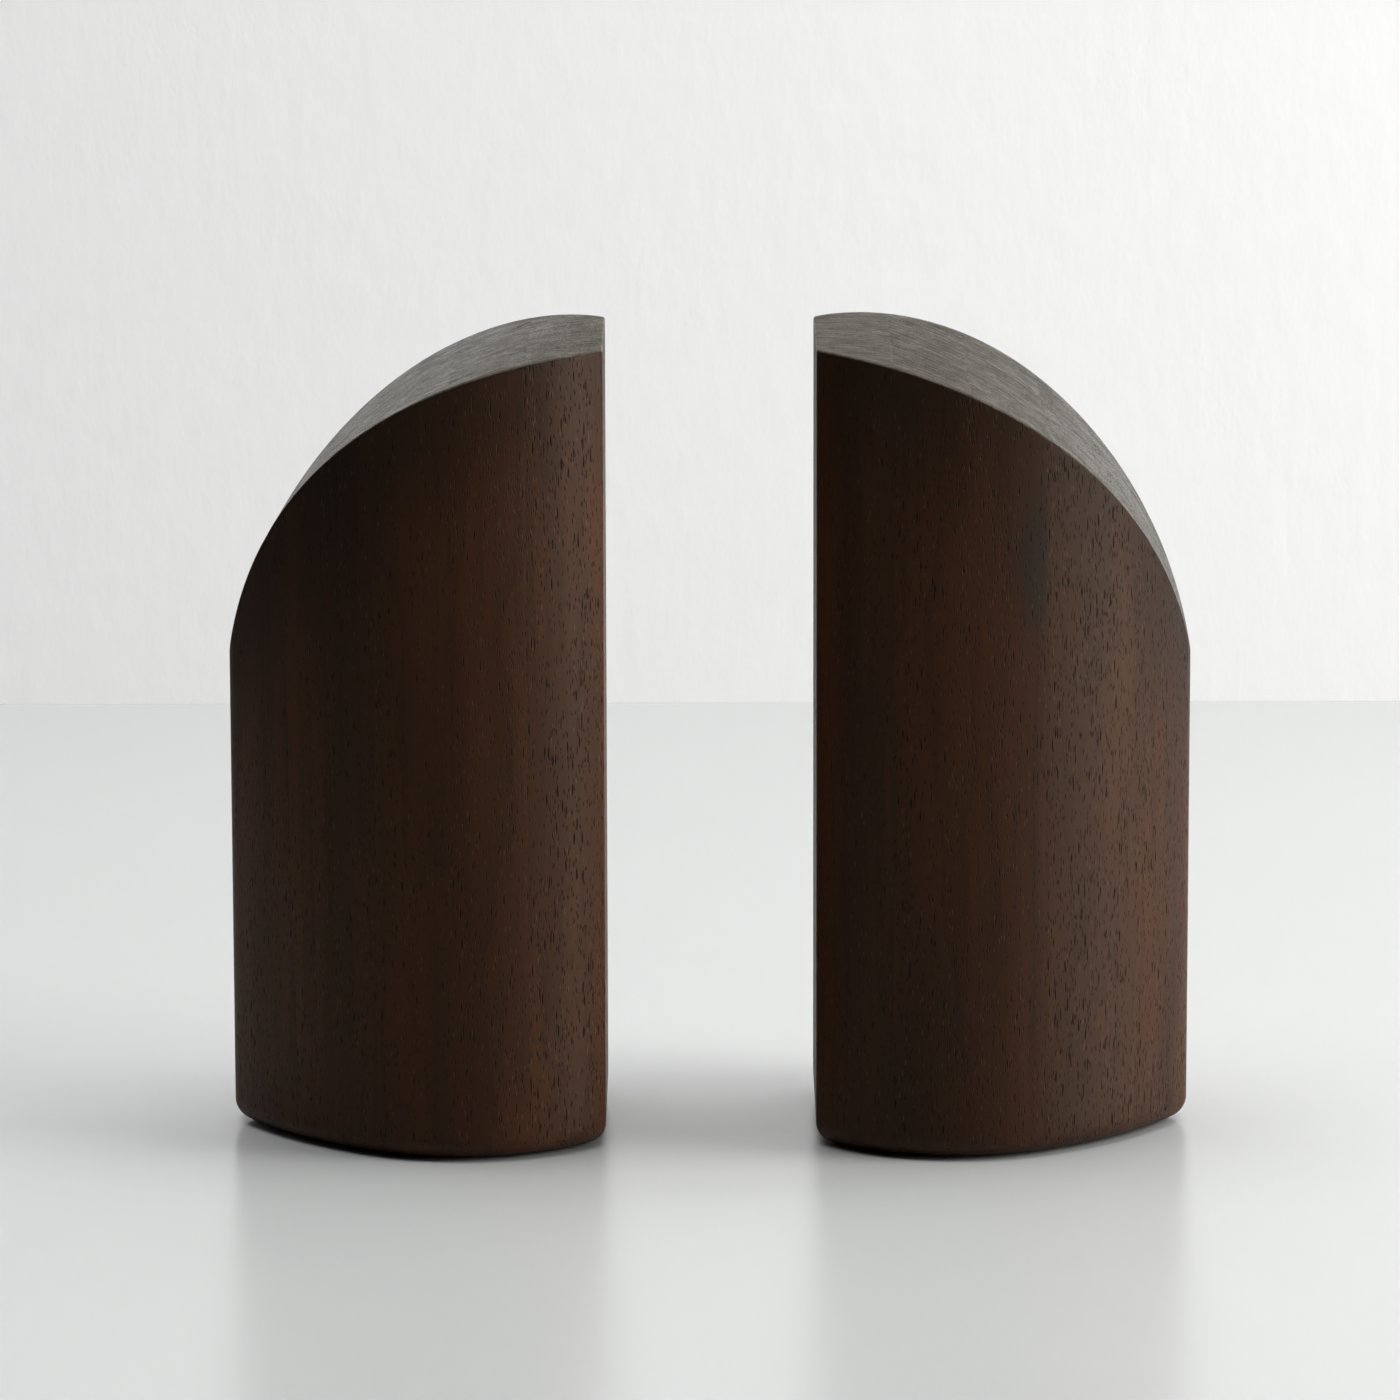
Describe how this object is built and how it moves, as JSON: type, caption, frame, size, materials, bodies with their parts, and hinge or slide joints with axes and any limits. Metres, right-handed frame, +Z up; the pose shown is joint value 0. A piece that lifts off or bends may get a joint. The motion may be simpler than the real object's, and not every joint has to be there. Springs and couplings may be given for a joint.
{
  "type": "book ends",
  "caption": "Pair of tall dark wooden book ends with a flat face towards the books, rounded sides and a top that falls away in one arc.",
  "frame": {"origin": "on the shelf, midway between the two flat faces", "axes": "+X from the left book end to the right one, along the row of books; -Y the front; +Z up"},
  "size_m": [0.243, 0.091, 0.203],
  "materials": {
    "dark_wood": "satin, espresso stain over open-pored wood",
    "plug_wood": "bare, sanded",
    "weight_steel": "turned, lightly oiled",
    "pad_felt": "dense pressed felt, matt"
  },
  "bodies": {
    "left_bookend": {"left_stave_1": "dark_wood", "left_stave_2": "dark_wood", "left_stave_3": "dark_wood", "left_stave_4": "dark_wood", "left_stave_5": "dark_wood", "left_weight": "weight_steel", "left_plug": "plug_wood", "left_pad": "pad_felt"},
    "right_bookend": {"right_stave_1": "dark_wood", "right_stave_2": "dark_wood", "right_stave_3": "dark_wood", "right_stave_4": "dark_wood", "right_stave_5": "dark_wood", "right_weight": "weight_steel", "right_plug": "plug_wood", "right_pad": "pad_felt"}
  },
  "joints": [
    {"name": "row_length", "type": "slide", "parent": "left_bookend", "child": "right_bookend", "axis": [1, 0, 0], "range_m": [-0.043, 0.347]}
  ]
}
